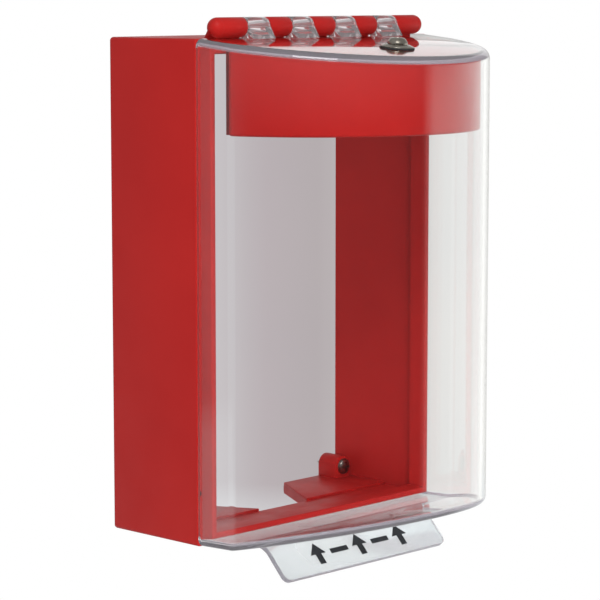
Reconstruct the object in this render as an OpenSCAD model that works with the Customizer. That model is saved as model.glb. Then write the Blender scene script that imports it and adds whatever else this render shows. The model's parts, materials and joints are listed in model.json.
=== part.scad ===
// Hinged protective cover of a manual call point, with a warning sounder in its dome.
// Origin: centre of the wall face. +X right, -Y towards the room, +Z up. Millimetres.

/* [Back frame] */
// Width of the frame
frame_w = 190; // [184:1:200]
// Height of the frame
frame_h = 280; // [270:1:300]
// Depth of the frame from the wall to its front face
frame_d = 70; // [66:1:80]
// Thickness of the frame walls
frame_wall = 5; // [4:0.5:5]
// Rounding of the frame's rear edges at top and bottom
rear_round = 2; // [2:0.5:4]
// How far the inner lip stands in from the outside of the frame
lip_inset = 5; // [5:0.1:5.4]
// Thickness of the inner lip
lip_t = 3.5; // [3:0.5:4]
// How far the inner lip reaches into the cover
lip_out = 8; // [6:0.5:8]
// Half width of the conduit notch at the wall
notch_rear = 44; // [36:1:50]
// Half width of the conduit notch at its inner end
notch_front = 20; // [16:1:24]
// Length of the conduit notch from the wall
notch_len = 43; // [36:1:46]

/* [Cover] */
// Radius of the dome seen from above
dome_r = 98; // [97:0.5:99]
// Wall thickness of the clear cover
shell_t = 3.2; // [3:0.1:3.4]
// Fall of the dome's top, millimetres per millimetre
top_fall = 0.1; // [0.06:0.01:0.1]
// Height of the dome's underside above the frame's underside, at the front
belly_rise = 17; // [14:1:18]
// Width of the lift tab
tab_w = 134; // [110:1:140]
// Length of the lift tab
tab_len = 26; // [22:1:30]
// Angle of the lift tab below the horizontal
tab_angle = 47; // [40:1:50]

/* [Hinge] */
// Total length of the hinge barrel
barrel_len = 171; // [165:1:175]
// Radius of the hinge barrel
barrel_r = 5.5; // [5.2:0.1:5.6]
// Radius of the hinge pin
pin_r = 2; // [1.8:0.1:2.2]
// Length of each inner knuckle
knuckle_len = 17.5; // [16:0.5:18]

/* [Wall screws] */
// Distance between the screws across the frame
screw_dx = 163; // [160:1:164]
// Distance between the screws up the frame
screw_dz = 253; // [250:1:254]
// Radius of a wall screw's shank
screw_r = 2.25; // [2:0.05:2.3]
// How far the wall screws stand out of the wall face
screw_out = 7; // [4:1:40]

/* [Sounder] */
// Height of the sounder's underside above the frame's mid height
sounder_z = 88; // [84:1:92]
// Distance of the sounder's rear face in front of the frame
sounder_rear = 11.5; // [11.5:0.5:13]
// Wall thickness of the sounder housing
sounder_t = 2.5; // [2:0.5:3]
// How far the battery door slides
door_travel = 40; // [30:1:42]

/* [Hidden] */
$fn = 64;

red = [0.66, 0.13, 0.13];
dark_red = [0.5, 0.1, 0.1];
clear = [0.85, 0.88, 0.9, 0.5];
steel = [0.45, 0.42, 0.4];
black = [0.1, 0.1, 0.11];
brass = [0.8, 0.65, 0.3];
green = [0.1, 0.35, 0.2];

cut = 1;                                  // overshoot of a cutting shape
run = 0.05;                               // radial running clearance on the pin
side_gap = 0.4;                           // gap between neighbouring knuckles
touch_gap = 0.3;                          // gap between the closed cover and the frame
half_w = frame_w / 2;
half_h = frame_h / 2;
front_y = -frame_d;
flange_t = 4;
floor_rise = 1.6;                         // height of the floor pads above the floor
lip_outer_w = frame_w - 2 * lip_inset;
lip_outer_h = frame_h - 2 * lip_inset;
opening_w = lip_outer_w - 2 * lip_t;
opening_h = lip_outer_h - 2 * lip_t;

axis_y = front_y - 1.4;                   // hinge axis
axis_z = half_h + barrel_r + 0.3;
half_barrel = barrel_len / 2;
end_len = (barrel_len - 7 * knuckle_len) / 2;

boss_r = 6.5;
boss_len = 15;
neck_extra = 0.5;                         // the plain neck is thicker than the thread
head_r = 4.8;
head_h = 3;

crease = sqrt(dome_r * dome_r - half_w * half_w);
tilt = atan(top_fall);
shell_drop = shell_t / cos(tilt);
belly_start = 1;                          // rise of the underside at the crease

clamp_b = 61;                             // clamp screw, distance in front of the frame
seal_r = 9.8;
seal_t = 1;
washer_r = 9.3;
washer_t = 1.6;
clamp_r = 2;

house_gap = 2;
house_r = dome_r - shell_t - house_gap;
house_side = half_w - shell_t - house_gap;
lid_t = 2;
lid_half = 82;
house_rear = sounder_rear + lid_t;
house_drop = shell_drop + 1;

door_w = 50;
door_h = 31;
door_t = 1.8;
door_gap = 0.1;
door_x = 38;
door_z = sounder_z + 22;
rail_t = 2;
rail_hook = 2;

pad_r = 1.8;
pad_depth = 0.9;

// Height of the dome's outer top at a distance in front of the frame
function top_z(b) = half_h - top_fall * b;

// ---- shared shapes -------------------------------------------------------------

// A ring of rectangular outline lying across the front, from depth y0 forwards
module front_ring(w, h, in_w, in_h, y0, depth) {
    translate([0, y0, 0]) rotate([90, 0, 0]) linear_extrude(depth) difference() {
        square([w, h], center = true);
        square([in_w, in_h], center = true);
    }
}

// Children placed at the four wall screw axes
module at_screw(sx, sz) {
    translate([sx * screw_dx / 2, 0, sz * screw_dz / 2]) children();
}

// A cylinder along X from x0 to x1 on the hinge axis
module barrel(x0, x1, r) {
    translate([x0, axis_y, axis_z]) rotate([0, 90, 0]) cylinder(h = x1 - x0, r = r);
}

// A prism along X from x0 to x1 with its outline given as [y, z] points
module prism_x(x0, x1, points) {
    translate([x0, 0, 0]) rotate([90, 0, 90]) linear_extrude(x1 - x0) polygon(points);
}

// Start of the knuckle with index i, counted from the left
function knuckle_x(i) = -half_barrel + (i == 0 ? 0 : end_len + (i - 1) * knuckle_len);

// Children in the frame of the clamp screw: z = 0 on the dome's outer top
module at_clamp() {
    translate([0, front_y - clamp_b, top_z(clamp_b)]) rotate([tilt, 0, 0]) children();
}

// ---- frame ---------------------------------------------------------------------

module side_outline() {
    r = rear_round;
    translate([front_y, -half_h]) square([frame_d - r, frame_h]);
    translate([-r, -half_h + r]) square([r, frame_h - 2 * r]);
    for (s = [-1, 1]) translate([-r, s * (half_h - r)]) circle(r);
}

module frame_walls() {
    difference() {
        translate([-half_w, 0, 0]) rotate([90, 0, 90]) linear_extrude(frame_w) side_outline();
        translate([-half_w + frame_wall, front_y + flange_t, -half_h + frame_wall])
            cube([frame_w - 2 * frame_wall, frame_d + cut, frame_h - 2 * frame_wall]);
        translate([-opening_w / 2, front_y - cut, -opening_h / 2])
            cube([opening_w, flange_t + 2 * cut, opening_h]);
    }
}

// Round-topped boss that carries one wall screw, standing on the floor or the ceiling
module corner_boss(sx, sz) {
    root = half_h - frame_wall + cut - screw_dz / 2;
    at_screw(sx, sz) {
        rotate([90, 0, 0]) cylinder(h = boss_len, r = boss_r);
        translate([-boss_r, -boss_len, sz > 0 ? 0 : -root]) cube([2 * boss_r, boss_len, root]);
    }
}

module floor_pad() {
    translate([-half_w + frame_wall - cut, -notch_len, -half_h + frame_wall - cut])
        cube([frame_w - 2 * frame_wall + 2 * cut, notch_len, floor_rise + cut]);
}

module conduit_notch() {
    translate([0, 0, -half_h - cut]) linear_extrude(frame_wall + floor_rise + 2 * cut)
        polygon([[-notch_rear, cut], [notch_rear, cut], [notch_rear, 0],
            [notch_front, -notch_len], [-notch_front, -notch_len], [-notch_rear, 0]]);
}

// One red knuckle with the web that joins it to the top of the frame
module frame_knuckle(i) {
    x0 = knuckle_x(i) + (i == 0 ? barrel_r : side_gap / 2);
    x1 = knuckle_x(i + 1) - (i == 8 ? barrel_r : side_gap / 2);
    end = i == 8 ? half_barrel - barrel_r : x1;
    barrel(x0, end, barrel_r);
    if (i == 0 || i == 8) translate([i == 0 ? x0 : end, axis_y, axis_z]) sphere(barrel_r);
    prism_x(x0, end, [[front_y, half_h - cut], [front_y + 9, half_h - cut], [front_y + 9, half_h],
        [front_y + 3.4, axis_z + 1], [front_y, axis_z]]);
}

module back_frame() {
    color(red) difference() {
        union() {
            frame_walls();
            front_ring(lip_outer_w, lip_outer_h, opening_w, opening_h,
                front_y + cut, lip_out + cut);
            floor_pad();
            for (sx = [-1, 1], sz = [-1, 1]) corner_boss(sx, sz);
            for (i = [0:2:8]) frame_knuckle(i);
        }
        conduit_notch();
        for (sx = [-1, 1], sz = [-1, 1]) at_screw(sx, sz)
            translate([0, cut, 0]) rotate([90, 0, 0])
                cylinder(h = boss_len + 2 * cut, r = screw_r + neck_extra + 0.1);
        for (sx = [-1, 1]) pad_place(sx) cylinder(h = pad_depth, r = pad_r);
        barrel(-half_barrel - cut, half_barrel - 4, pin_r + run);
    }
}

module hinge_pin() {
    color(dark_red) barrel(-half_barrel + 0.6, half_barrel - 4.5, pin_r);
}

module wall_screw(sx, sz) {
    color(steel) at_screw(sx, sz) translate([0, -boss_len, 0]) rotate([-90, 0, 0]) difference() {
        union() {
            cylinder(h = boss_len, r = screw_r + neck_extra);
            cylinder(h = boss_len + screw_out, r = screw_r);
            translate([0, 0, -head_h + 1.2]) cylinder(h = head_h - 1.2, r = head_r);
            translate([0, 0, -head_h]) cylinder(h = 1.2, r1 = head_r - 1.2, r2 = head_r);
        }
        for (a = [0, 90]) rotate([0, 0, a]) translate([-2.6, -0.5, -head_h - cut])
            cube([5.2, 1, 1.8 + cut]);
    }
}

// Children in the seat of one stop pad: z = 0 at the bottom of the seat, +z forwards
module pad_place(sx) {
    translate([sx * (half_w - lip_inset / 2), front_y + pad_depth, -half_h + 30])
        rotate([90, 0, 0]) children();
}

module stop_pad(sx) {
    color(black) pad_place(sx) cylinder(h = pad_depth + touch_gap, r = pad_r);
}

module frame_magnet() {
    color(steel) translate([-9, front_y + flange_t, half_h - frame_wall - 4]) cube([18, 8, 4]);
}

// ---- cover ---------------------------------------------------------------------

// Dome outline from above, made smaller all round by d
module dome_plan(d) {
    intersection() {
        translate([0, front_y]) circle(dome_r - d, $fn = 128);
        translate([-half_w + d, front_y - 2 * dome_r])
            square([frame_w - 2 * d, 2 * dome_r - touch_gap]);
    }
}

// Dome outline from the side, as [y, z] points, with the top and underside moved in by d
function dome_side(d) = let (s = d / cos(tilt)) [
    [front_y + cut, top_z(-cut) - s],
    [front_y + cut, -half_h + d],
    [front_y, -half_h + d],
    [front_y - crease, -half_h + belly_start + d],
    [front_y - dome_r - cut, -half_h + belly_rise + s],
    [front_y - dome_r - cut, top_z(dome_r + cut) - s]];

module dome_solid(d) {
    intersection() {
        translate([0, 0, -frame_h]) linear_extrude(2 * frame_h) dome_plan(d);
        prism_x(-frame_w, frame_w, dome_side(d));
    }
}

// One clear knuckle with its arm down to the dome's top
module cover_knuckle(i) {
    x0 = knuckle_x(i) + side_gap / 2;
    x1 = knuckle_x(i + 1) - side_gap / 2;
    reach = 10;
    barrel(x0, x1, barrel_r);
    prism_x(x0, x1, [[axis_y, axis_z], [axis_y - 3.2, axis_z + 4.4],
        [axis_y - reach, top_z(reach) + 0.5], [axis_y - reach, top_z(reach) - 2],
        [axis_y, top_z(0) - 2]]);
}

// Flat outline of the lift tab: y = 0 at its root
module tab_outline() {
    r = 4;
    half = tab_w / 2;
    translate([-half, -4]) square([tab_w, tab_len - r + 4]);
    translate([-half + r, 0]) square([tab_w - 2 * r, tab_len]);
    for (s = [-1, 1]) {
        translate([s * (half - r), tab_len - r]) circle(r);
        polygon([[s * half, 8], [s * (half + 7), -4], [s * (half - 4), -4]]);
    }
}

// Children in the plane of the lift tab: y runs down the tab, z = 0 on its upper face
module at_tab() {
    translate([0, front_y - crease, -half_h + belly_start + 1]) rotate([180 + tab_angle, 0, 0])
        children();
}

module cover_shell() {
    color(clear) difference() {
        union() {
            difference() {
                dome_solid(0);
                dome_solid(shell_t);
                translate([-half_w + shell_t, front_y - 2 * touch_gap, -half_h + shell_t])
                    cube([frame_w - 2 * shell_t, 3 * touch_gap,
                        frame_h - shell_t - shell_drop]);
            }
            for (i = [1:2:7]) cover_knuckle(i);
            difference() {
                at_tab() linear_extrude(3) tab_outline();
                translate([0, 0, shell_t / 2]) dome_solid(shell_t / 2);
            }
        }
        barrel(-half_barrel, half_barrel, pin_r + run);
        at_clamp() translate([0, 0, -shell_t - cut]) cylinder(h = shell_t + 2 * cut,
            r = clamp_r + 0.3);
    }
}

// Upward arrow, base centre at the origin, pointing to -y (up the tab)
module arrow() {
    polygon([[-6, -6.5], [0, -13.5], [6, -6.5], [2.2, -6.5], [2.2, 0], [-2.2, 0], [-2.2, -6.5]]);
}

module lift_mark() {
    mark_y = tab_len - 5;
    color(black) at_tab() translate([0, 0, -0.2]) linear_extrude(0.2) {
        for (x = [-34, 0, 34]) translate([x, mark_y]) arrow();
        for (x = [-17, 17]) translate([x - 7, mark_y - 8]) square([14, 3]);
    }
}

module house_plan(d) {
    rear = front_y - house_rear;
    chamfer = house_side - lid_half;
    intersection() {
        translate([0, front_y]) circle(house_r - d, $fn = 128);
        polygon([[-lid_half + d, rear], [lid_half - d, rear],
            [house_side - d, rear - chamfer], [house_side - d, rear - dome_r],
            [-house_side + d, rear - dome_r], [-house_side + d, rear - chamfer]]);
    }
}

// Space below the dome's inner top, lowered by d, and above height z0
module under_top(z0, d) {
    prism_x(-frame_w, frame_w, [[front_y + cut, z0], [front_y - dome_r, z0],
        [front_y - dome_r, top_z(dome_r) - house_drop - d],
        [front_y + cut, top_z(-cut) - house_drop - d]]);
}

module sounder_housing() {
    t = sounder_t;
    rear = front_y - house_rear;
    color(red) difference() {
        union() {
            difference() {
                intersection() {
                    linear_extrude(frame_h) house_plan(0);
                    under_top(sounder_z, 0);
                }
                difference() {
                    intersection() {
                        union() {
                            linear_extrude(frame_h) house_plan(t);
                            translate([-lid_half + t, rear - cut, sounder_z + t])
                                cube([2 * (lid_half - t), 2 * cut, frame_h]);
                        }
                        under_top(sounder_z + t, t);
                    }
                    for (sx = [-1, 1]) translate([sx * (lid_half - 6), rear + cut, lid_screw_z()])
                        rotate([90, 0, 0]) cylinder(h = 16, r = 4);
                }
            }
            at_clamp() translate([0, 0, -18]) cylinder(h = 18 - shell_t, r = 7);
            for (x = [door_x - 18, door_x + 14]) translate([x, rear - 20, sounder_z + cut])
                cube([4, 19, 8]);
            for (x = [-70, -6]) translate([x, rear - 30, sounder_z + cut]) cube([4, 12, 7]);
        }
        at_clamp() translate([0, 0, -14]) cylinder(h = 14, r = 3.6);
        for (sx = [-1, 1]) translate([sx * (lid_half - 6), rear + cut, lid_screw_z()])
            rotate([90, 0, 0]) cylinder(h = 12, r = 1.3);
    }
}

function lid_screw_z() = sounder_z + 8;

module lid_screw_hole(r, h) {
    for (sx = [-1, 1]) translate([sx * (lid_half - 6), front_y - sounder_rear + cut, lid_screw_z()])
        rotate([90, 0, 0]) cylinder(h = h, r = r);
}

module sounder_lid() {
    y1 = front_y - sounder_rear;
    top = top_z(house_rear) - house_drop;
    rail_x0 = door_x - door_w / 2 - door_travel - 1;
    rail_x1 = door_x + door_w / 2 + 1;
    rail_out = door_gap * 2 + door_t;
    color(dark_red) difference() {
        union() {
            translate([-lid_half, y1 - lid_t, sounder_z]) cube([2 * lid_half, lid_t, top - sounder_z]);
            for (s = [-1, 1]) translate([0, 0, door_z + s * (door_h / 2 + 0.3 + rail_t / 2)]) {
                translate([rail_x0, y1 - cut, -rail_t / 2])
                    cube([rail_x1 - rail_x0, rail_out + cut, rail_t]);
                translate([rail_x0, y1 + rail_out, -rail_t / 2 - (s > 0 ? rail_hook : 0)])
                    cube([rail_x1 - rail_x0, 1, rail_t + rail_hook]);
            }
            translate([rail_x1 - 1, y1 - cut, door_z - door_h / 2])
                cube([1, cut + 1.4, door_h]);
        }
        translate([door_x - 22, y1 - lid_t - cut, door_z - 12]) cube([44, lid_t + 2 * cut, 24]);
        for (k = [-2:2]) translate([-58, y1 - lid_t - cut, door_z + 5 * k - 1.2])
            cube([26, lid_t + 2 * cut, 2.4]);
        lid_screw_hole(1.7, lid_t + 2 * cut);
    }
}

module lid_screw(sx) {
    color(steel) translate([sx * (lid_half - 6), front_y - sounder_rear, lid_screw_z()])
        rotate([90, 0, 0]) {
            cylinder(h = 11, r = 1.25);
            translate([0, 0, -1.8]) cylinder(h = 1.8, r1 = 1.8, r2 = 2.8);
        }
}

module circuit_board() {
    color(green) translate([-72, front_y - 38, door_z - 14]) cube([70, 1.6, 28]);
}

module piezo_horn() {
    color(black) translate([-45, front_y - house_rear, door_z]) rotate([90, 0, 0])
        difference() {
            cylinder(h = 12, r = 15);
            translate([0, 0, -cut]) cylinder(h = 5 + cut, r1 = 12, r2 = 4);
        }
}

module lift_switch() {
    color(black) translate([-9, front_y - house_rear - 5, sounder_z + 34]) cube([18, 5, 5]);
}

module battery() {
    color([0.2, 0.2, 0.24]) translate([door_x - 24, front_y - house_rear - 19, door_z - 13])
        cube([48.5, 17.5, 26]);
}

module battery_clip() {
    color(black) translate([door_x - 28, front_y - house_rear - 19, door_z - 12])
        cube([4, 17.5, 24]);
}

module seal_washer() {
    color(black) at_clamp() difference() {
        cylinder(h = seal_t, r = seal_r);
        translate([0, 0, -cut]) cylinder(h = seal_t + 2 * cut, r = clamp_r + 0.2);
    }
}

module clamp_washer() {
    color(steel) at_clamp() translate([0, 0, seal_t]) difference() {
        union() {
            cylinder(h = 0.6, r = washer_r);
            translate([0, 0, 0.6]) cylinder(h = washer_t - 0.6, r1 = washer_r, r2 = washer_r - 2.6);
        }
        translate([0, 0, -cut]) cylinder(h = washer_t + 2 * cut, r = clamp_r + 0.1);
    }
}

module clamp_screw() {
    base = seal_t + washer_t;
    color(steel) at_clamp() difference() {
        union() {
            translate([0, 0, -13]) cylinder(h = 13 + base, r = clamp_r);
            translate([0, 0, base]) cylinder(h = 1.2, r = 5.6);
            translate([0, 0, base + 1.2]) cylinder(h = 2.4, r1 = 5.6, r2 = 3.6);
        }
        translate([0, 0, base + 1.2]) difference() {
            cylinder(h = 2.4 + cut, r = 2, $fn = 6);
            cylinder(h = 2.4, r = 0.7);
        }
    }
}

module clamp_insert() {
    color(brass) at_clamp() translate([0, 0, -14]) difference() {
        cylinder(h = 14 - shell_t - 0.2, r = 3.55);
        translate([0, 0, 0.6]) cylinder(h = 14, r = clamp_r + run);
    }
}

module battery_door() {
    y0 = front_y - sounder_rear + door_gap;
    color(dark_red) {
        translate([door_x - door_w / 2, y0, door_z - door_h / 2]) cube([door_w, door_t, door_h]);
        for (k = [-2:2]) translate([door_x - 12 + 3 * k, y0 + door_t - 0.4, door_z - 8])
            cube([1.2, 1.2, 16]);
    }
}

// ---- one line per node ---------------------------------------------------------

back_frame();
hinge_pin();
wall_screw(-1, -1);  // wall_screw_1
wall_screw(1, -1);  // wall_screw_2
wall_screw(-1, 1);  // wall_screw_3
wall_screw(1, 1);  // wall_screw_4
stop_pad(-1);  // stop_pad_1
stop_pad(1);  // stop_pad_2
frame_magnet();
cover_shell();
lift_mark();
sounder_housing();
sounder_lid();
lid_screw(-1);  // lid_screw_1
lid_screw(1);  // lid_screw_2
circuit_board();
piezo_horn();
lift_switch();
battery();
battery_clip();
clamp_screw();
clamp_washer();
seal_washer();
clamp_insert();
battery_door();
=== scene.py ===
"""Looks of a hinged protective cover for a manual call point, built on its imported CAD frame."""
import json
import math

import bmesh
import bpy
from mathutils import Matrix, Vector


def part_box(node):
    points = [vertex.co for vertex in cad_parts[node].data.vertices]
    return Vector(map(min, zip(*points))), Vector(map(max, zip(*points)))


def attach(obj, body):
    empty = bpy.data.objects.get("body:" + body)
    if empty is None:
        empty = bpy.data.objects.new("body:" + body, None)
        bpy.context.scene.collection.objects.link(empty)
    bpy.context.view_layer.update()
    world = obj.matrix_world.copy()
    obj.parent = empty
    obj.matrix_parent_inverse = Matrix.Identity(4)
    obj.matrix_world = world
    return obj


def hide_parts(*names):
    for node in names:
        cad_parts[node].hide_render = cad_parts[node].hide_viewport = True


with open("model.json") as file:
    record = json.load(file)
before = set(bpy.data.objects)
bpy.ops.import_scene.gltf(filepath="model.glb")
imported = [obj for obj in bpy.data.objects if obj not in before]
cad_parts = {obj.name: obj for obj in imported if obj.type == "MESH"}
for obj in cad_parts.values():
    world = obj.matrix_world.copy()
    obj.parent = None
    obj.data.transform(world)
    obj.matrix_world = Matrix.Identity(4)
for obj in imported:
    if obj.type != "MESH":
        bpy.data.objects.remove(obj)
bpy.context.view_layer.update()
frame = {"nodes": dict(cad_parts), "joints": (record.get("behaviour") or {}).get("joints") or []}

MM = 0.001
FRAME_LOW, FRAME_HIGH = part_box("back_frame")
SHELL_LOW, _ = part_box("cover_shell")
HINGE = next(j for j in frame["joints"] if j["name"] == "cover_hinge")

# Driving sizes in millimetres, as in the CAD
HALF_W = FRAME_HIGH.x / MM
HALF_H = -FRAME_LOW.z / MM
LIP_OUT = 8.0
FRONT = FRAME_LOW.y / MM + LIP_OUT           # the frame's front face
WALL = 5.0
LIP_INSET = 5.0
LIP_T = 3.5
FLANGE_T = 4.0
DOME_R = FRONT - SHELL_LOW.y / MM
SHELL_T = 3.2
TOP_FALL = 0.1
BELLY_START = 1.0
BELLY_RISE = 17.0
TOUCH_GAP = 0.3
CREASE = math.sqrt(DOME_R ** 2 - HALF_W ** 2)
TILT = math.atan(TOP_FALL)
AXIS_Y = HINGE["pos_m"][1] / MM
AXIS_Z = HINGE["pos_m"][2] / MM
BARREL_R = 5.5
BARREL_LEN = 171.0
PIN_BORE_R = 2.05
KNUCKLE = 17.5
KNUCKLES = 9
SIDE_GAP = 0.4
NOTCH_REAR, NOTCH_FRONT, NOTCH_LEN = 44.0, 20.0, 43.0
PAD_RISE = 1.6
SCREW_X, SCREW_Z = 81.5, 126.5
BOSS_R, BOSS_LEN = 6.5, 15.0
SCREW_R = 2.25
SCREW_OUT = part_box("wall_screw_1")[1].y / MM
HEAD_R, HEAD_H = 4.8, 3.0
TAB_HALF, TAB_LEN, TAB_T, TAB_DROP = 67.0, 26.0, 3.0, math.radians(47)
TAB_CORNER, TAB_FLARE = 4.0, 8.0
SHELL_ROUNDING = (4.6, 1.8)      # outer and inner edges of the dome
HOUSE_ROUNDING = (1.6, 0.8)
FRAME_CORNER = 2.2
KNUCKLE_REACH = 9.5              # how far forward of the axis a clear knuckle's arm goes
THREAD_PITCH, THREAD_TIP = 1.9, 4.0
CORE = 0.68                      # a thread's root radius over its crest radius
HOUSE_GAP, HOUSE_T = 2.0, 2.5
CLAMP_B = 61.0
FLAT_AREA = 1e-4                 # faces over this many square metres may be shaded flat


# ---- mesh helpers ------------------------------------------------------------------

def shade(mesh, angle):
    """Smooth shading up to an angle; large flat faces among rounded edges stay flat."""
    bm = bmesh.new()
    bm.from_mesh(mesh)
    for face in bm.faces:
        turns = [e.calc_face_angle(math.pi) for e in face.edges]
        face.smooth = face.calc_area() < FLAT_AREA or min(turns) < math.radians(5)
    bm.to_mesh(mesh)
    bm.free()
    mesh.set_sharp_from_angle(angle=math.radians(angle))


def finish_mesh(name, bm, material, body, smooth=35):
    """Turns a bmesh in millimetres into a piece that rides on a body."""
    bmesh.ops.recalc_face_normals(bm, faces=bm.faces)
    bmesh.ops.scale(bm, vec=(MM, MM, MM), verts=bm.verts)
    mesh = bpy.data.meshes.new(name)
    bm.to_mesh(mesh)
    bm.free()
    shade(mesh, smooth)
    piece = bpy.data.objects.new(name, mesh)
    bpy.context.scene.collection.objects.link(piece)
    mesh.materials.append(material)
    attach(piece, body)
    return piece


def edge_faces(piece, material, is_edge):
    """Gives a second material to the faces whose normal is_edge accepts."""
    piece.data.materials.append(material)
    for face in piece.data.polygons:
        if is_edge(face.normal):
            face.material_index = 1


def arc(cx, cy, r, start, end, steps):
    """Points of an arc from start to end, in degrees."""
    out = []
    for i in range(steps + 1):
        a = math.radians(start + (end - start) * i / steps)
        out.append((cx + r * math.cos(a), cy + r * math.sin(a)))
    return out


def add_prism(bm, outline, place, depth, bevel=0.0, segments=3):
    """Adds a prism of a flat outline; place maps (u, v, w) to a point, w runs from 0 to depth."""
    part = bmesh.new()
    low = [part.verts.new(place(u, v, 0)) for u, v in outline]
    high = [part.verts.new(place(u, v, depth)) for u, v in outline]
    part.faces.new(low)
    part.faces.new(high)
    count = len(outline)
    for i in range(count):
        j = (i + 1) % count
        part.faces.new((low[i], low[j], high[j], high[i]))
    bmesh.ops.recalc_face_normals(part, faces=part.faces)
    if bevel:
        sharp = [e for e in part.edges if e.calc_face_angle(0) > math.radians(35)]
        bmesh.ops.bevel(part, geom=sharp, offset=bevel, segments=segments, profile=0.5,
                        affect="EDGES", clamp_overlap=True)
    merge(bm, part)


def merge(bm, part):
    """Adds all of one bmesh to another."""
    mesh = bpy.data.meshes.new("scratch")
    part.to_mesh(mesh)
    part.free()
    bm.from_mesh(mesh)
    bpy.data.meshes.remove(mesh)


def add_lathe(bm, profile, place, steps=64):
    """Adds a solid of revolution; profile holds (radius, height) and place maps (x, y, height)."""
    part = bmesh.new()
    rings = []
    for r, h in profile:
        if r < 1e-6:
            rings.append([part.verts.new(place(0, 0, h))])
            continue
        rings.append([part.verts.new(place(r * math.cos(2 * math.pi * k / steps),
                                           r * math.sin(2 * math.pi * k / steps), h))
                      for k in range(steps)])
    for a, b in zip(rings, rings[1:]):
        for k in range(steps):
            j = (k + 1) % steps
            corners = [a[k % len(a)], a[j % len(a)], b[j % len(b)], b[k % len(b)]]
            unique = list(dict.fromkeys(corners))
            if len(unique) > 2:
                part.faces.new(unique)
    bmesh.ops.recalc_face_normals(part, faces=part.faces)
    merge(bm, part)


def cut_away(piece, cutter_bm):
    """Cuts a scratch solid, in millimetres, out of a piece."""
    bmesh.ops.recalc_face_normals(cutter_bm, faces=cutter_bm.faces)
    bmesh.ops.scale(cutter_bm, vec=(MM, MM, MM), verts=cutter_bm.verts)
    mesh = bpy.data.meshes.new("cutter")
    cutter_bm.to_mesh(mesh)
    cutter_bm.free()
    cutter = bpy.data.objects.new("cutter", mesh)
    bpy.context.scene.collection.objects.link(cutter)
    step = piece.modifiers.new("cut", "BOOLEAN")
    step.operation = "DIFFERENCE"
    step.solver = "EXACT"
    step.object = cutter
    apply_modifiers(piece)
    bpy.data.objects.remove(cutter)


def apply_modifiers(piece):
    """Replaces a piece's mesh by its evaluated one."""
    bpy.context.view_layer.update()
    graph = bpy.context.evaluated_depsgraph_get()
    mesh = bpy.data.meshes.new_from_object(piece.evaluated_get(graph))
    piece.modifiers.clear()
    piece.data = mesh


# ---- materials ---------------------------------------------------------------------

def new_material(name):
    """A node material with its nodes, links and main shader."""
    material = bpy.data.materials.new(name)
    material.use_nodes = True
    nodes, links = material.node_tree.nodes, material.node_tree.links
    shader = next(n for n in nodes if n.type == "BSDF_PRINCIPLED")
    return material, nodes, links, shader


def noise(nodes, links, scale, detail=2.0, stretch=(1, 1, 1)):
    """A noise texture on the object's own coordinates, in metres."""
    place = nodes.new("ShaderNodeTexCoord")
    shape = nodes.new("ShaderNodeMapping")
    shape.inputs["Scale"].default_value = stretch
    texture = nodes.new("ShaderNodeTexNoise")
    texture.inputs["Scale"].default_value = scale
    texture.inputs["Detail"].default_value = detail
    links.new(place.outputs["Object"], shape.inputs["Vector"])
    links.new(shape.outputs["Vector"], texture.inputs["Vector"])
    return texture


def spread(nodes, links, source, low, high, start=0.35, end=0.65):
    """Maps a texture's factor to a range of values."""
    span = nodes.new("ShaderNodeMapRange")
    span.inputs["From Min"].default_value = start
    span.inputs["From Max"].default_value = end
    span.inputs["To Min"].default_value = low
    span.inputs["To Max"].default_value = high
    links.new(source, span.inputs["Value"])
    return span.outputs["Result"]


def tint(nodes, links, factor, first, second):
    """Blends two colours by a factor."""
    blend = nodes.new("ShaderNodeMix")
    blend.data_type = "RGBA"
    links.new(factor, blend.inputs["Factor"])
    blend.inputs["A"].default_value = (*first, 1)
    blend.inputs["B"].default_value = (*second, 1)
    return blend.outputs["Result"]


def rounded_bump(nodes, links, shader, height, strength, distance, edge):
    """Bump from a texture, over edges softened by a small radius."""
    bump = nodes.new("ShaderNodeBump")
    bump.inputs["Strength"].default_value = strength
    bump.inputs["Distance"].default_value = distance
    links.new(height, bump.inputs["Height"])
    if edge:
        soft = nodes.new("ShaderNodeBevel")
        soft.samples = 4
        soft.inputs["Radius"].default_value = edge
        links.new(soft.outputs["Normal"], bump.inputs["Normal"])
    links.new(bump.outputs["Normal"], shader.inputs["Normal"])


def plastic(name, light, dark, rough=(0.3, 0.4), grain=2600, strength=0.25, edge=0.0,
            shine=0.5):
    """Moulded plastic: fine spark-eroded grain, faint colour drift and uneven gloss."""
    material, nodes, links, shader = new_material(name)
    drift = noise(nodes, links, 14, 4)
    links.new(tint(nodes, links, spread(nodes, links, drift.outputs["Fac"], 0, 1), light, dark),
              shader.inputs["Base Color"])
    gloss = noise(nodes, links, 60, 5)
    links.new(spread(nodes, links, gloss.outputs["Fac"], *rough), shader.inputs["Roughness"])
    shader.inputs["Specular IOR Level"].default_value = shine
    skin = noise(nodes, links, grain, 2)
    rounded_bump(nodes, links, shader, skin.outputs["Fac"], strength, 0.00012, edge)
    return material


def metal(name, light, dark, rough=(0.25, 0.4), stretch=(1, 1, 1), grain=900, edge=0.0):
    """Turned or plated metal with fine tool marks and dull patches."""
    material, nodes, links, shader = new_material(name)
    shader.inputs["Metallic"].default_value = 1
    patches = noise(nodes, links, 220, 5)
    links.new(tint(nodes, links, spread(nodes, links, patches.outputs["Fac"], 0, 1), light, dark),
              shader.inputs["Base Color"])
    links.new(spread(nodes, links, patches.outputs["Fac"], *rough), shader.inputs["Roughness"])
    marks = noise(nodes, links, grain, 2, stretch)
    rounded_bump(nodes, links, shader, marks.outputs["Fac"], 0.3, 0.0001, edge)
    return material


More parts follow.
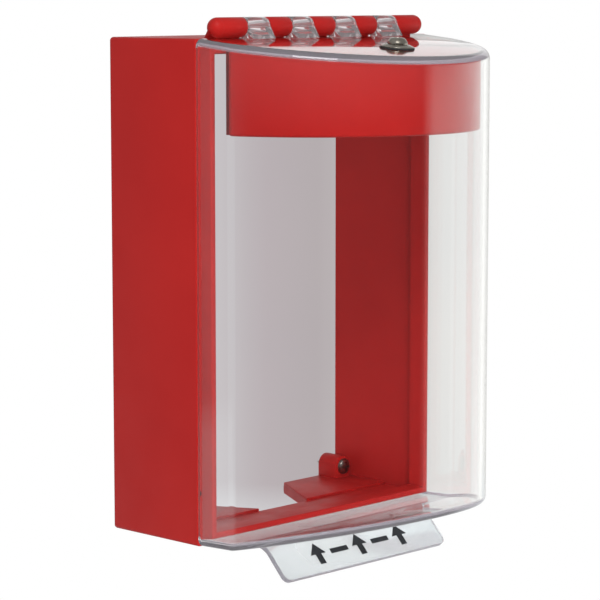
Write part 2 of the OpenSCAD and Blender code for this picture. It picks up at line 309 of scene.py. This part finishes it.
def clear_plastic(name, first, second, through):
    """Clear polycarbonate: faint moulding ripple and handling haze; lamps shine through it."""
    material, nodes, links, shader = new_material(name)
    drift = noise(nodes, links, 9, 2)
    links.new(tint(nodes, links, spread(nodes, links, drift.outputs["Fac"], 0, 1),
                   first, second), shader.inputs["Base Color"])
    shader.inputs["Transmission Weight"].default_value = through
    shader.inputs["IOR"].default_value = 1.5
    haze = noise(nodes, links, 45, 6)
    links.new(spread(nodes, links, haze.outputs["Fac"], 0.0, 0.03, 0.5, 0.75),
              shader.inputs["Roughness"])
    ripple = noise(nodes, links, 30, 1, (1, 1, 0.25))
    rounded_bump(nodes, links, shader, ripple.outputs["Fac"], 0.05, 0.0006, 0)
    rays = nodes.new("ShaderNodeLightPath")
    lamps = nodes.new("ShaderNodeBsdfTransparent")
    lamps.inputs["Color"].default_value = (0.97, 0.97, 0.97, 1)
    choose = nodes.new("ShaderNodeMixShader")
    output = next(n for n in nodes if n.type == "OUTPUT_MATERIAL")
    links.new(rays.outputs["Is Shadow Ray"], choose.inputs["Fac"])
    links.new(shader.outputs["BSDF"], choose.inputs[1])
    links.new(lamps.outputs["BSDF"], choose.inputs[2])
    links.new(choose.outputs["Shader"], output.inputs["Surface"])
    return material


def circuit_green(name):
    """Solder-masked board with a faint weave and copper tracks under the lacquer."""
    material, nodes, links, shader = new_material(name)
    place = nodes.new("ShaderNodeTexCoord")
    tracks = nodes.new("ShaderNodeTexBrick")
    tracks.inputs["Scale"].default_value = 260
    tracks.inputs["Color1"].default_value = (0.01, 0.12, 0.04, 1)
    tracks.inputs["Color2"].default_value = (0.012, 0.15, 0.05, 1)
    tracks.inputs["Mortar"].default_value = (0.03, 0.25, 0.08, 1)
    links.new(place.outputs["Object"], tracks.inputs["Vector"])
    links.new(tracks.outputs["Color"], shader.inputs["Base Color"])
    shader.inputs["Roughness"].default_value = 0.3
    weave = noise(nodes, links, 3000, 1)
    rounded_bump(nodes, links, shader, weave.outputs["Fac"], 0.2, 0.0001, 0)
    return material


RED = plastic("red_moulding", (0.45, 0.015, 0.013), (0.41, 0.012, 0.011),
            (0.38, 0.48), shine=0.15)
RED_CAD = plastic("dark_red_moulding", (0.20, 0.010, 0.009), (0.16, 0.007, 0.007), edge=0.0004)
CLEAR = clear_plastic("clear_polycarbonate", (0.985, 0.985, 0.985), (0.965, 0.97, 0.975), 1)
# Rounded-edge material: a mauve-grey base colour, a third of it diffuse, is painted shade and
# painted reflection standing in for the surroundings that thick clear edges refract
PAINTED_EDGE_SHADE = clear_plastic("clear_edge_painted_shade", (0.50, 0.45, 0.51), (0.44, 0.41, 0.46), 0.66)
HAZY = clear_plastic("clear_tab", (0.84, 0.87, 0.88), (0.80, 0.84, 0.86), 0.74)
FROST = clear_plastic("clear_knuckle", (0.90, 0.84, 0.86), (0.82, 0.78, 0.80), 0.92)
PRINT = plastic("black_print", (0.010, 0.012, 0.016), (0.016, 0.018, 0.024), (0.35, 0.5))
BLACK = plastic("black_moulding", (0.02, 0.02, 0.02), (0.03, 0.03, 0.03), (0.4, 0.5),
                edge=0.0003)
RUBBER = plastic("black_rubber", (0.015, 0.015, 0.015), (0.022, 0.022, 0.022), (0.7, 0.85))
SCREW = metal("dark_screw", (0.34, 0.30, 0.27), (0.2, 0.18, 0.16))
CLAMP = metal("turned_clamp", (0.42, 0.39, 0.34), (0.26, 0.24, 0.2), (0.18, 0.32))
NICKEL = metal("nickel_magnet", (0.5, 0.5, 0.5), (0.4, 0.4, 0.4), edge=0.0003)
BRASS = metal("brass_insert", (0.7, 0.48, 0.18), (0.6, 0.4, 0.15))
BOARD = circuit_green("circuit_board_green")
SLEEVE = plastic("battery_sleeve", (0.05, 0.05, 0.06), (0.03, 0.03, 0.035), (0.25, 0.35),
                 edge=0.0005)


# ---- shared outlines ---------------------------------------------------------------

def top_z(b):
    return HALF_H - TOP_FALL * b


def belly_z(b):
    if b <= CREASE:
        return -HALF_H + BELLY_START * max(b, 0) / CREASE
    return -HALF_H + BELLY_START + (BELLY_RISE - BELLY_START) * (b - CREASE) / (DOME_R - CREASE)


def dome_plan(rear_b, side, radius, steps, corner=0.0):
    """Plan of a domed body as (x, b), from its rear left round its front; b is forward."""
    start = math.degrees(math.acos(min(side / radius, 1)))
    front = arc(0, 0, radius, 180 - start, start, steps)
    plan = [(x, b) for x, b in front]
    left = [(-side + corner, rear_b)] + ([(-side, rear_b + corner)] if corner else [])
    right = [(x * -1, b) for x, b in reversed(left)]
    return left + plan + right


def add_domed_skin(bm, plan, top, belly, belly_crease, edge_r):
    """Walls, top and belly over a plan, open at the rear, with rounded edges."""
    part = bmesh.new()
    low = [part.verts.new((x, FRONT - b, belly(b))) for x, b in plan]
    high = [part.verts.new((x, FRONT - b, top(b))) for x, b in plan]
    for i in range(len(plan) - 1):
        part.faces.new((low[i], low[i + 1], high[i + 1], high[i]))
    part.faces.new(high)
    if belly_crease:
        part.faces.new((low[0], low[1], low[-2], low[-1]))
        part.faces.new(low[1:-1])
    else:
        part.faces.new(low)
    bmesh.ops.recalc_face_normals(part, faces=part.faces)
    rim = [e for e in part.edges if len(e.link_faces) == 2
           and e.calc_face_angle(0) > math.radians(50)]
    bmesh.ops.bevel(part, geom=rim, offset=edge_r, segments=6, profile=0.5, affect="EDGES",
                    clamp_overlap=False)
    side = max(x for x, b in plan)
    for v in part.verts:
        v.co.x = max(-side, min(side, v.co.x))
    merge(bm, part)


def rim_loops(bm):
    """The two open rims of a shell, each as its vertices in order round the y axis."""
    left = [v for v in bm.verts if any(len(e.link_faces) == 1 for e in v.link_edges)]
    loops = []
    while left:
        loop, reach = [], [left.pop(0)]
        while reach:
            v = reach.pop()
            loop.append(v)
            for e in v.link_edges:
                w = e.other_vert(v)
                if len(e.link_faces) == 1 and w in left:
                    left.remove(w)
                    reach.append(w)
        loops.append(sorted(loop, key=lambda v: math.atan2(v.co.z, v.co.x)))
    return loops


def domed_shell(plans, tops, bellies, belly_crease, radii):
    """A moulded shell, open at the rear, from its outer and inner skins."""
    bm = bmesh.new()
    for plan, top, belly, edge_r in zip(plans, tops, bellies, radii):
        add_domed_skin(bm, plan, top, belly, belly_crease, edge_r)
    outer, inner = rim_loops(bm)
    for i in range(len(outer)):
        bm.faces.new((outer[i - 1], outer[i], inner[i], inner[i - 1]))
    return bm


# ---- back frame --------------------------------------------------------------------

def frame_profile():
    """Section of the frame's wall as (inset from the outside, y), front flange and lip."""
    front_r, lip_r, rear_r = 0.9, 0.8, 1.6
    lip_front = FRONT - LIP_OUT
    opening = LIP_INSET + LIP_T
    section = arc(rear_r, -rear_r, rear_r, 90, 180, 6)
    section += arc(front_r, FRONT + front_r, front_r, 180, 270, 4)
    section += [(LIP_INSET, FRONT)]
    section += arc(LIP_INSET + lip_r, lip_front + lip_r, lip_r, 180, 270, 4)
    section += arc(opening - lip_r, lip_front + lip_r, lip_r, 270, 360, 4)
    section += [(opening, FRONT + FLANGE_T), (WALL, FRONT + FLANGE_T)]
    section += [(WALL, -0.6), (WALL - 0.6, 0)]
    return section


def corner_path(inset, corner_r, steps):
    """Points of the frame's rounded rectangle at an inset from its outside, as (x, z)."""
    out = []
    for sx, sz, start in ((1, 1, 0), (-1, 1, 90), (-1, -1, 180), (1, -1, 270)):
        r = max(corner_r - inset, 0.4)
        cx = sx * (HALF_W - inset - r)
        cz = sz * (HALF_H - inset - r)
        out += arc(cx, cz, r, start, start + 90, steps)
    return out


def build_frame_walls():
    bm = bmesh.new()
    rings = []
    for inset, y in frame_profile():
        rings.append([bm.verts.new((x, y, z)) for x, z in corner_path(inset, FRAME_CORNER, 5)])
    count = len(rings[0])
    for a, b in zip(rings, rings[1:] + rings[:1]):
        for i in range(count):
            j = (i + 1) % count
            bm.faces.new((a[i], a[j], b[j], b[i]))
    walls = finish_mesh("frame_walls", bm, RED, "frame")
    cutter = bmesh.new()
    over = 1.0
    outline = [(-NOTCH_REAR, over), (-NOTCH_REAR, 0), (-NOTCH_FRONT, -NOTCH_LEN),
               (NOTCH_FRONT, -NOTCH_LEN), (NOTCH_REAR, 0), (NOTCH_REAR, over)]
    add_prism(cutter, outline, lambda u, v, w: (u, v, -HALF_H - over + w), WALL + 2 * over)
    cut_away(walls, cutter)
    shade(walls.data, 30)
    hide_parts("back_frame")


def build_floor_pads():
    bm = bmesh.new()
    inner = HALF_W - WALL + 0.2
    floor = -HALF_H + WALL - 0.3
    for s in (-1, 1):
        outline = [(s * NOTCH_REAR, -0.2), (s * NOTCH_FRONT, -NOTCH_LEN),
                   (s * inner, -NOTCH_LEN), (s * inner, -0.2)]
        add_prism(bm, outline, lambda u, v, w: (u, v, floor + w), PAD_RISE + 0.3, 0.35, 2)
    pads = finish_mesh("floor_pads", bm, RED, "frame")


def build_corner_bosses():
    """Four screw bosses, each with a rib that ties it to the side wall."""
    bm = bmesh.new()
    for sx in (-1, 1):
        for sz in (-1, 1):
            root = HALF_H - WALL + 0.3 - SCREW_Z
            top = arc(0, 0, BOSS_R, 0, 180, 16)
            outline = [(BOSS_R, -root)] + top + [(-BOSS_R, -root)]
            add_prism(bm, outline,
                      lambda u, v, w: (sx * SCREW_X + u, -w, sz * (SCREW_Z - v)),
                      BOSS_LEN, 0.6, 3)
    bosses = finish_mesh("corner_bosses", bm, RED, "frame")


# ---- hinge -------------------------------------------------------------------------

def knuckle_x(i):
    """Left end of knuckle i."""
    end_len = (BARREL_LEN - (KNUCKLES - 2) * KNUCKLE) / 2
    return -BARREL_LEN / 2 + (0 if i == 0 else end_len + (i - 1) * KNUCKLE)


def ray_reach(angle, polygon):
    """How far a ray from the origin reaches inside a polygon that holds the origin."""
    dx, dy = math.cos(angle), math.sin(angle)
    best = 0.0
    for (x0, y0), (x1, y1) in zip(polygon, polygon[1:] + polygon[:1]):
        ex, ey = x1 - x0, y1 - y0
        det = dx * -ey + ex * dy
        if abs(det) < 1e-9:
            continue
        t = (x0 * -ey + ex * y0) / det
        s = (dx * y0 - dy * x0) / det
        if t > best and -1e-6 <= s <= 1 + 1e-6:
            best = t
    return best


def add_knuckle(bm, x0, x1, arm, bore, edge=0.5, steps=96):
    """A hinge knuckle: a barrel with an arm whose outline, about the axis, is a polygon."""
    loop = [(x0, bore, 0), (x0, None, edge), (x0 + edge * 0.3, None, edge * 0.3),
            (x0 + edge, None, 0), (x1 - edge, None, 0), (x1 - edge * 0.3, None, edge * 0.3),
            (x1, None, edge), (x1, bore, 0)]
    rings = []
    for x, fixed, shrink in loop:
        ring = []
        for k in range(steps):
            a = 2 * math.pi * k / steps
            reach = fixed or max(BARREL_R, ray_reach(a, arm)) - shrink
            ring.append(bm.verts.new((x, AXIS_Y + reach * math.cos(a),
                                      AXIS_Z + reach * math.sin(a))))
        rings.append(ring)
    for a, b in zip(rings, rings[1:] + rings[:1]):
        for k in range(steps):
            j = (k + 1) % steps
            bm.faces.new((a[k], a[j], b[j], b[k]))


def build_frame_knuckles():
    """Five red knuckles; their webs stand on the top of the frame, behind the axis."""
    bm = bmesh.new()
    base = HALF_H - AXIS_Z - 0.5
    back = FRONT - AXIS_Y
    web = [(back, base), (back + 9, base), (back + 9, base + 0.6), (back + 5.2, 0.2),
           (0.5, 0.8), (-0.5, -0.5)]
    for i in range(0, KNUCKLES, 2):
        first, last = i == 0, i == KNUCKLES - 1
        x0 = knuckle_x(i) + (BARREL_R if first else SIDE_GAP / 2)
        x1 = BARREL_LEN / 2 - BARREL_R if last else knuckle_x(i + 1) - SIDE_GAP / 2
        add_knuckle(bm, x0, x1, web, PIN_BORE_R)
        if first or last:
            side = -1 if first else 1
            end = x0 if first else x1
            dome = [(BARREL_R * math.cos(a), BARREL_R * math.sin(a))
                    for a in (math.pi / 2 * k / 10 for k in range(11))]
            profile = [(0.0, -0.4), (BARREL_R, -0.4)] + dome
            add_lathe(bm, profile,
                      lambda u, v, h: (end + side * h, AXIS_Y + u, AXIS_Z + v))
    knuckles = finish_mesh("frame_knuckles", bm, RED, "frame", smooth=40)


def build_cover_knuckles():
    """Four clear knuckles with arms that run down to the dome's top."""
    bm = bmesh.new()
    reach = KNUCKLE_REACH
    arm = [(1.0, 1.0), (-3.2, 4.4), (-reach, top_z(reach) + 0.7 - AXIS_Z),
           (-reach, top_z(reach) - 0.1 - AXIS_Z), (1.0, top_z(0) - 0.05 - AXIS_Z)]
    for i in range(1, KNUCKLES, 2):
        add_knuckle(bm, knuckle_x(i) + SIDE_GAP / 2, knuckle_x(i + 1) - SIDE_GAP / 2,
                    arm, PIN_BORE_R)
    knuckles = finish_mesh("cover_knuckles", bm, FROST, "cover", smooth=40)


# ---- clear cover -------------------------------------------------------------------

def build_cover_shell():
    drop = SHELL_T / math.cos(TILT)
    plans = [dome_plan(TOUCH_GAP, HALF_W - d, DOME_R - d, 72) for d in (0, SHELL_T)]
    bm = domed_shell(plans, [top_z, lambda b: top_z(b) - drop],
                     [belly_z, lambda b: belly_z(b) + SHELL_T], True, SHELL_ROUNDING)
    shell = finish_mesh("cover_dome", bm, CLEAR, "cover", smooth=50)
    # Painted shade and reflection: the dome's rounded edges get the mauve-grey edge material
    edge_faces(shell, PAINTED_EDGE_SHADE, lambda n: 0.2 < abs(n.z) < 0.97)
    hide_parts("cover_shell")


def tab_point(u, v, w):
    """A point of the lift tab: u across, v down the tab, w back from its upper face."""
    y0, z0 = FRONT - CREASE, -HALF_H + BELLY_START + 1
    c, s = math.cos(TAB_DROP), math.sin(TAB_DROP)
    return (u, y0 - v * c + w * s, z0 - v * s - w * c)


def build_lift_tab():
    bm = bmesh.new()
    r, flare = TAB_CORNER, TAB_FLARE
    right = arc(TAB_HALF + flare, flare - 1, flare, 270, 180, 8)
    right += arc(TAB_HALF - r, TAB_LEN - r, r, 0, 90, 8)
    outline = right + [(-u, v) for u, v in reversed(right)]
    add_prism(bm, outline, tab_point, TAB_T, 0.8, 3)
    tab = finish_mesh("lift_tab", bm, HAZY, "cover", smooth=40)
    face_normal = Vector((0, -math.sin(TAB_DROP), math.cos(TAB_DROP)))
    # Painted shade and reflection: the tab's edges get the mauve-grey edge material
    edge_faces(tab, PAINTED_EDGE_SHADE, lambda n: abs(n.dot(face_normal)) < 0.9)


# ---- sounder -----------------------------------------------------------------------

def build_sounder_housing():
    lid_low, lid_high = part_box("sounder_lid")
    house_low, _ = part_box("sounder_housing")
    rear_b = FRONT - lid_low.y / MM
    lid_half = lid_high.x / MM
    side = HALF_W - SHELL_T - HOUSE_GAP
    drop = SHELL_T / math.cos(TILT) + 1
    floor = house_low.z / MM
    plans = [dome_plan(rear_b, side - d, DOME_R - SHELL_T - HOUSE_GAP - d, 64, side - lid_half)
             for d in (0, HOUSE_T)]
    bm = domed_shell(plans, [lambda b: top_z(b) - drop, lambda b: top_z(b) - drop - HOUSE_T],
                     [lambda b: floor, lambda b: floor + HOUSE_T], False, HOUSE_ROUNDING)
    housing = finish_mesh("sounder_body", bm, RED, "cover", smooth=50)
    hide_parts("sounder_housing")


# ---- fasteners ---------------------------------------------------------------------

def clamp_point(x, y, h):
    """A point about the clamp screw's axis, h above the dome's top."""
    c, s = math.cos(TILT), math.sin(TILT)
    return (x, FRONT - CLAMP_B + y * c - h * s, top_z(CLAMP_B) + y * s + h * c)


def build_clamp():
    """Rubber seal, conical washer and domed security screw on the top of the dome."""
    seal = bmesh.new()
    add_lathe(seal, [(2.2, 0), (9.5, 0), (9.8, 0.3), (9.8, 0.7), (9.5, 1.0), (2.2, 1.0),
                     (2.2, 0)], clamp_point)
    piece = finish_mesh("clamp_seal", seal, RUBBER, "cover")
    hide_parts("seal_washer")

    cone = bmesh.new()
    add_lathe(cone, [(2.1, 1.0), (9.1, 1.0), (9.3, 1.2), (9.2, 1.5), (6.9, 2.5), (6.5, 2.6),
                     (2.1, 2.6), (2.1, 1.0)], clamp_point)
    piece = finish_mesh("clamp_cone", cone, CLAMP, "cover")
    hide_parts("clamp_washer")

    head = bmesh.new()
    add_lathe(head, [(0, -13), (1.6, -13), (2, -12.6), (2, 2.6), (5.4, 2.6), (5.6, 2.8),
                     (5.6, 3.7), (5.3, 4.3), (4.6, 5.3), (3.7, 6.05), (3.1, 6.2), (2.5, 6.1),
                     (2.2, 5.6), (2.1, 3.9), (0.8, 3.8), (0.75, 5.9), (0.5, 6.15), (0, 6.2)],
              clamp_point)
    piece = finish_mesh("clamp_head", head, CLAMP, "cover")
    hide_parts("clamp_screw")


def add_thread(bm, start, end, radius, pitch, place, steps=24):
    """A threaded shank: a tube whose radius follows a helix and tapers to a point."""
    rows = int((end - start) / pitch * 8)
    rings = []
    for i in range(rows + 1):
        h = start + (end - start) * i / rows
        ring = []
        for k in range(steps):
            turn = k / steps
            phase = (h / pitch - turn) % 1
            ridge = (1 - CORE) * radius * max(1 - min(phase, 1 - phase) * 4, 0)
            fade = min(1, max((end - h) / THREAD_TIP, 0.08))
            r = (CORE * radius + ridge) * fade
            a = 2 * math.pi * turn
            ring.append(bm.verts.new(place(r * math.cos(a), r * math.sin(a), h)))
        rings.append(ring)
    bm.faces.new(rings[0])
    bm.faces.new(rings[-1])
    for a, b in zip(rings, rings[1:]):
        for k in range(steps):
            j = (k + 1) % steps
            bm.faces.new((a[k], a[j], b[j], b[k]))


def build_wall_screws():
    """Pan-head screws with a cross recess and a wood thread behind the wall face."""
    for index, (sx, sz) in enumerate(((-1, -1), (1, -1), (-1, 1), (1, 1)), 1):
        def place(x, y, h):
            return (sx * SCREW_X + x, -BOSS_LEN + h, sz * SCREW_Z + y)
        bm = bmesh.new()
        add_lathe(bm, [(0, -HEAD_H), (2.2, -HEAD_H), (3.6, -HEAD_H + 0.3), (4.5, -HEAD_H + 1.1),
                       (HEAD_R, -HEAD_H + 2.0), (HEAD_R, -0.3), (4.5, 0), (SCREW_R, 0),
                       (SCREW_R, 4), (0, 4)], place, 48)
        screw = finish_mesh("wall_screw_head_%d" % index, bm, SCREW, "frame")
        cutter = bmesh.new()
        a, b = 2.7, 0.55
        cross = [(a, -b), (a, b), (b, b), (b, a), (-b, a), (-b, b),
                 (-a, b), (-a, -b), (-b, -b), (-b, -a), (b, -a), (b, -b)]
        add_prism(cutter, cross, lambda u, v, w: place(u, v, -HEAD_H - 0.5 + w), 2.1)
        cut_away(screw, cutter)
        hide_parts("wall_screw_%d" % index)
        shank = bmesh.new()
        add_thread(shank, 3.5, BOSS_LEN + SCREW_OUT, SCREW_R, THREAD_PITCH, place)
        thread = finish_mesh("wall_screw_thread_%d" % index, shank, SCREW, "frame", smooth=60)


# ---- carried CAD nodes -------------------------------------------------------------

def dress(node, material):
    """Gives a carried CAD node its material and soft shading."""
    mesh = frame["nodes"][node].data
    mesh.materials.clear()
    mesh.materials.append(material)
    mesh.polygons.foreach_set("use_smooth", [True] * len(mesh.polygons))
    mesh.set_sharp_from_angle(angle=math.radians(30))


def dress_nodes():
    dress("hinge_pin", RED_CAD)
    for node in ("stop_pad_1", "stop_pad_2"):
        dress(node, RUBBER)
    for node in ("sounder_lid", "battery_door"):
        dress(node, RED_CAD)
    for node in ("piezo_horn", "lift_switch", "battery_clip"):
        dress(node, BLACK)
    for node in ("lid_screw_1", "lid_screw_2"):
        dress(node, SCREW)
    dress("frame_magnet", NICKEL)
    dress("lift_mark", PRINT)
    dress("circuit_board", BOARD)
    dress("battery", SLEEVE)
    dress("clamp_insert", BRASS)


# ---- studio ------------------------------------------------------------------------

def direction(azimuth, elevation):
    """Unit vector from the object; azimuth 0 is straight out from the wall, 90 to +X."""
    a, e = math.radians(azimuth), math.radians(elevation)
    return Vector((math.sin(a) * math.cos(e), -math.cos(a) * math.cos(e), math.sin(e)))


def softbox(name, azimuth, elevation, distance, width, height, power, shows):
    """A lamp that faces the object; shows says whether reflections and glass see it."""
    lamp = bpy.data.lights.new(name, "AREA")
    lamp.shape = "RECTANGLE"
    lamp.size = width
    lamp.size_y = height
    lamp.energy = power
    box = bpy.data.objects.new(name, lamp)
    towards = direction(azimuth, elevation)
    box.location = towards * distance
    box.rotation_euler = (-towards).to_track_quat("-Z", "Y").to_euler()
    box.visible_glossy = shows
    box.visible_transmission = shows
    bpy.context.scene.collection.objects.link(box)


CAMERA_AT = (-1.0169, -1.0388, 0.1684)
CAMERA_TURN = (90 - 7.27, 0, -46.0)
LENS = 147.9
FLOOR_R, FLOOR_Z = 1.5, -1.2     # in metres


def build_camera():
    camera = bpy.data.objects.new("camera", bpy.data.cameras.new("camera"))
    camera.location = CAMERA_AT
    camera.rotation_euler = [math.radians(angle) for angle in CAMERA_TURN]
    camera.data.lens = LENS
    camera.data.sensor_width = 36
    camera.data.clip_start = 0.05
    bpy.context.scene.collection.objects.link(camera)
    bpy.context.scene.camera = camera


def build_floor():
    """A pale disc well below the object, which belongs to the stage."""
    bm = bmesh.new()
    bmesh.ops.create_circle(bm, cap_ends=True, segments=96, radius=FLOOR_R)
    material, _, _, shader = new_material("pale_floor")
    shader.inputs["Base Color"].default_value = (0.85, 0.85, 0.85, 1)
    shader.inputs["Roughness"].default_value = 0.8
    bmesh.ops.translate(bm, vec=(0, 0, FLOOR_Z), verts=bm.verts)
    mesh = bpy.data.meshes.new("floor")
    bm.to_mesh(mesh)
    bm.free()
    mesh.materials.append(material)
    floor = bpy.data.objects.new("floor", mesh)
    bpy.context.scene.collection.objects.link(floor)


# Colours of the studio round the object, as (azimuth, colour), from its left round its front
DIM, PALE, HAZE = (0.055, 0.055, 0.055), (0.86, 0.86, 0.84), (0.60, 0.57, 0.585)
WINDOW = (1.2, 1.2, 1.17)
SURROUND = [(-89, (0.10, 0.09, 0.09)), (-60, DIM), (28, DIM), (38, WINDOW), (100, WINDOW),
            (118, PALE), (130.9, (0.76, 0.76, 0.74)), (132.7, (0.52, 0.47, 0.48)),
            (134.2, (0.5, 0.45, 0.46)), (135.3, (0.55, 0.49, 0.51)), (136, HAZE), (200, HAZE),
            (250, (0.4, 0.37, 0.38)), (269, (0.10, 0.09, 0.09))]
SKY, GROUND = (0.45, 0.45, 0.45), (0.88, 0.91, 0.92)     # above and below that belt
BELT = ((-0.228, -0.200), (0.03, 0.13))      # heights over which the belt fades out
FRONT_DROP = 0.45                            # how much lower it ends in front of the object


def build_world():
    """White backdrop; what shines on the object is a belt of greys between sky and ground."""
    world = bpy.data.worlds.new("studio")
    bpy.context.scene.world = world
    world.use_nodes = True
    nodes, links = world.node_tree.nodes, world.node_tree.links
    nodes.clear()
    output = nodes.new("ShaderNodeOutputWorld")
    rays = nodes.new("ShaderNodeLightPath")
    seen = nodes.new("ShaderNodeBackground")
    seen.inputs["Color"].default_value = (1, 1, 1, 1)
    seen.inputs["Strength"].default_value = 1.0
    shine = nodes.new("ShaderNodeBackground")
    choose = nodes.new("ShaderNodeMixShader")
    place = nodes.new("ShaderNodeTexCoord")
    around = nodes.new("ShaderNodeTexGradient")
    around.gradient_type = "RADIAL"
    links.new(place.outputs["Generated"], around.inputs["Vector"])
    ramp = nodes.new("ShaderNodeValToRGB")
    links.new(around.outputs["Fac"], ramp.inputs["Fac"])
    ramp.color_ramp.elements[1].position = 1.0
    for index in range(1, len(SURROUND) - 1):
        ramp.color_ramp.elements.new(SURROUND[index][0] / 360 + 0.25)
    for index, (azimuth, colour) in enumerate(SURROUND):
        ramp.color_ramp.elements[index].position = azimuth / 360 + 0.25
        ramp.color_ramp.elements[index].color = (*colour, 1)
    height = nodes.new("ShaderNodeSeparateXYZ")
    links.new(place.outputs["Generated"], height.inputs["Vector"])
    ahead = spread(nodes, links, height.outputs["Y"], FRONT_DROP, 0, -0.1, 0.3)
    lifted = nodes.new("ShaderNodeMath")
    links.new(height.outputs["Z"], lifted.inputs[0])
    links.new(ahead, lifted.inputs[1])
    below = spread(nodes, links, lifted.outputs["Value"], 1, 0, *BELT[0])
    above = spread(nodes, links, height.outputs["Z"], 0, 1, *BELT[1])
    colour = ramp.outputs["Color"]
    for factor, shade in ((below, GROUND), (above, SKY)):
        blend = nodes.new("ShaderNodeMix")
        blend.data_type = "RGBA"
        links.new(factor, blend.inputs["Factor"])
        links.new(colour, blend.inputs["A"])
        blend.inputs["B"].default_value = (*shade, 1)
        colour = blend.outputs["Result"]
    links.new(colour, shine.inputs["Color"])
    shine.inputs["Strength"].default_value = 1.0
    links.new(rays.outputs["Is Camera Ray"], choose.inputs["Fac"])
    links.new(shine.outputs["Background"], choose.inputs[1])
    links.new(seen.outputs["Background"], choose.inputs[2])
    links.new(choose.outputs["Shader"], output.inputs["Surface"])


build_camera()
build_frame_walls()
build_floor_pads()
build_corner_bosses()
build_frame_knuckles()
build_cover_knuckles()
build_cover_shell()
build_lift_tab()
build_sounder_housing()
build_clamp()
build_wall_screws()
dress_nodes()
build_floor()
build_world()
softbox("front_fill", -28, 0, 2.0, 1.5, 1.5, 30, False)
softbox("rear_card", 134, 20, 2.0, 2.0, 0.7, 2.4, True)
softbox("key_window", -42, 42, 2.0, 0.8, 0.6, 13, True)
bpy.context.scene.view_settings.view_transform = "Standard"
